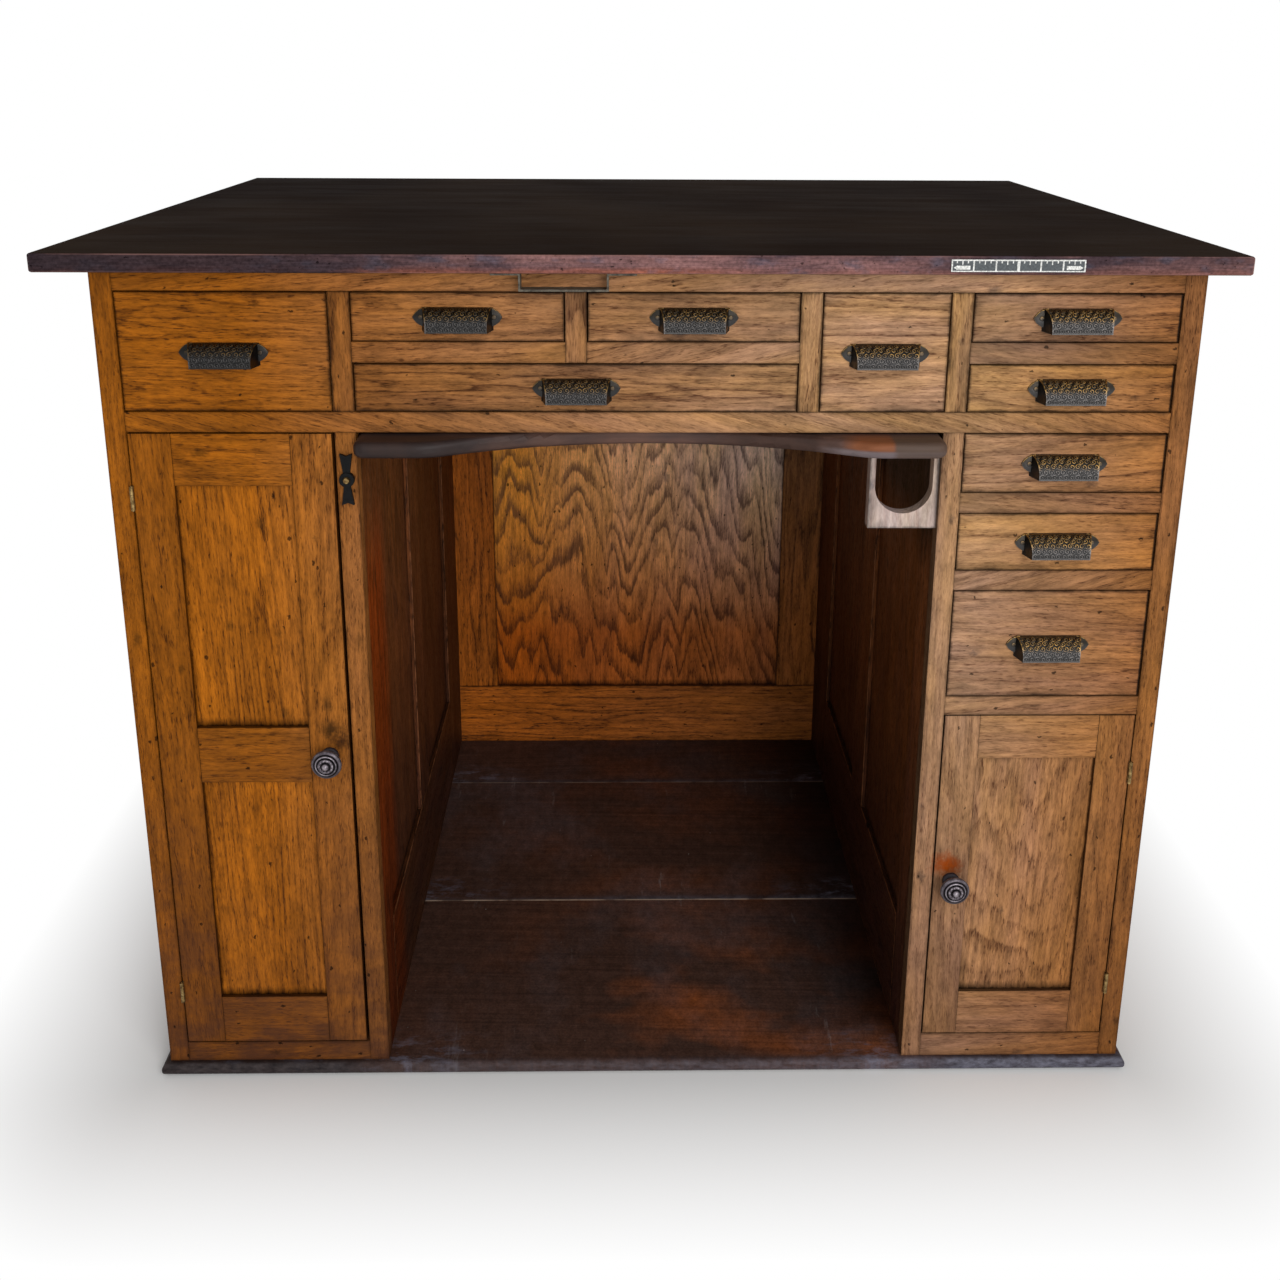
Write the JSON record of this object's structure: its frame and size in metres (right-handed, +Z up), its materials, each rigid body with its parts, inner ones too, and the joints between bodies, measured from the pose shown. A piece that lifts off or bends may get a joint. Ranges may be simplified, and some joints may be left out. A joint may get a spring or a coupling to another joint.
{
  "type": "jewelers desk",
  "caption": "Oak kneehole workbench desk with overhanging dark top, dovetailed drawers with bin pulls, panelled cupboards, pull-out apron slide and bench-pin strap.",
  "frame": {"origin": "on the floor under the centre of the case", "axes": "+X to the sitter's right along the top, +Y from the sitter towards the back, +Z up"},
  "size_m": [1.385, 1.01, 1.12],
  "materials": {
    "oak": "golden oak under old satin varnish, worn and spotted",
    "dark_oak": "oak darkened by stain and age",
    "dark_top": "near-black satin finish, red brown where the edge is worn",
    "dark_base": "dark stain, scuffed and dusty",
    "drawer_wood": "bare pale wood",
    "pale_wood": "pale planed wood",
    "cast_pull": "dark bronzed casting with rubbed high spots",
    "cast_knob": "dark bronzed knob with rubbed high spots",
    "black_iron": "black japanned iron",
    "brass": "tarnished brass",
    "ruler_enamel": "pale worn scale with dark ticks"
  },
  "bodies": {
    "case": {"top_board": "dark_top", "base_boards": "dark_base", "face_stiles": "oak", "face_muntins": "oak", "face_rails": "oak", "side_wall_frames": "oak", "side_wall_panels": "oak", "knee_wall_frames": "dark_oak", "knee_wall_panels": "dark_oak", "back_frame": "oak", "back_panels": "oak", "kneehole_ceiling": "dark_oak", "drawer_partitions": "drawer_wood", "slide_runners": "drawer_wood", "hinge_fixed_leaves": "brass", "turn_button_screw": "brass", "bench_pin_strap": "black_iron", "ruler_plate": "ruler_enamel", "tool_board": "pale_wood"},
    "left_drawer": {"left_drawer_front": "oak", "left_drawer_box": "drawer_wood", "left_drawer_pull": "cast_pull"},
    "upper_left_drawer": {"upper_left_drawer_front": "oak", "upper_left_drawer_box": "drawer_wood", "upper_left_drawer_pull": "cast_pull"},
    "upper_right_drawer": {"upper_right_drawer_front": "oak", "upper_right_drawer_box": "drawer_wood", "upper_right_drawer_pull": "cast_pull"},
    "wide_drawer": {"wide_drawer_front": "oak", "wide_drawer_box": "drawer_wood", "wide_drawer_pull": "cast_pull"},
    "narrow_drawer": {"narrow_drawer_front": "oak", "narrow_drawer_box": "drawer_wood", "narrow_drawer_pull": "cast_pull"},
    "right_drawer_1": {"right_drawer_1_front": "oak", "right_drawer_1_box": "drawer_wood", "right_drawer_1_pull": "cast_pull"},
    "right_drawer_2": {"right_drawer_2_front": "oak", "right_drawer_2_box": "drawer_wood", "right_drawer_2_pull": "cast_pull"},
    "right_drawer_3": {"right_drawer_3_front": "oak", "right_drawer_3_box": "drawer_wood", "right_drawer_3_pull": "cast_pull"},
    "right_drawer_4": {"right_drawer_4_front": "oak", "right_drawer_4_box": "drawer_wood", "right_drawer_4_pull": "cast_pull"},
    "right_drawer_5": {"right_drawer_5_front": "oak", "right_drawer_5_box": "drawer_wood", "right_drawer_5_pull": "cast_pull"},
    "left_door": {"left_door_frame": "oak", "left_door_panels": "oak", "left_door_knob": "cast_knob", "left_door_hinge_leaves": "brass"},
    "right_door": {"right_door_frame": "oak", "right_door_panel": "oak", "right_door_knob": "cast_knob", "right_door_hinge_leaves": "brass"},
    "turn_button": {"turn_button": "black_iron"},
    "apron": {"apron_board": "dark_base"}
  },
  "joints": [
    {"name": "left_drawer_slide", "type": "slide", "parent": "case", "child": "left_drawer", "axis": [0, -1, 0], "range_m": [0, 0.5]},
    {"name": "upper_left_drawer_slide", "type": "slide", "parent": "case", "child": "upper_left_drawer", "axis": [0, -1, 0], "range_m": [0, 0.5]},
    {"name": "upper_right_drawer_slide", "type": "slide", "parent": "case", "child": "upper_right_drawer", "axis": [0, -1, 0], "range_m": [0, 0.5]},
    {"name": "wide_drawer_slide", "type": "slide", "parent": "case", "child": "wide_drawer", "axis": [0, -1, 0], "range_m": [0, 0.5]},
    {"name": "narrow_drawer_slide", "type": "slide", "parent": "case", "child": "narrow_drawer", "axis": [0, -1, 0], "range_m": [0, 0.5]},
    {"name": "right_drawer_1_slide", "type": "slide", "parent": "case", "child": "right_drawer_1", "axis": [0, -1, 0], "range_m": [0, 0.5]},
    {"name": "right_drawer_2_slide", "type": "slide", "parent": "case", "child": "right_drawer_2", "axis": [0, -1, 0], "range_m": [0, 0.5]},
    {"name": "right_drawer_3_slide", "type": "slide", "parent": "case", "child": "right_drawer_3", "axis": [0, -1, 0], "range_m": [0, 0.5]},
    {"name": "right_drawer_4_slide", "type": "slide", "parent": "case", "child": "right_drawer_4", "axis": [0, -1, 0], "range_m": [0, 0.5]},
    {"name": "right_drawer_5_slide", "type": "slide", "parent": "case", "child": "right_drawer_5", "axis": [0, -1, 0], "range_m": [0, 0.5]},
    {"name": "left_door_swing", "type": "hinge", "parent": "case", "child": "left_door", "pos_m": [-0.62025, -0.4598, 0.476], "axis": [0, 0, -1], "range_deg": [0, 170]},
    {"name": "right_door_swing", "type": "hinge", "parent": "case", "child": "right_door", "pos_m": [0.62025, -0.4598, 0.293], "axis": [0, 0, 1], "range_deg": [0, 170]},
    {"name": "turn_button_turn", "type": "hinge", "parent": "case", "child": "turn_button", "pos_m": [-0.3625, -0.461, 0.847], "axis": [0, 1, 0], "continuous": true},
    {"name": "apron_pull_out", "type": "slide", "parent": "case", "child": "apron", "axis": [0, -1, 0], "range_m": [0, 0.3]}
  ]
}
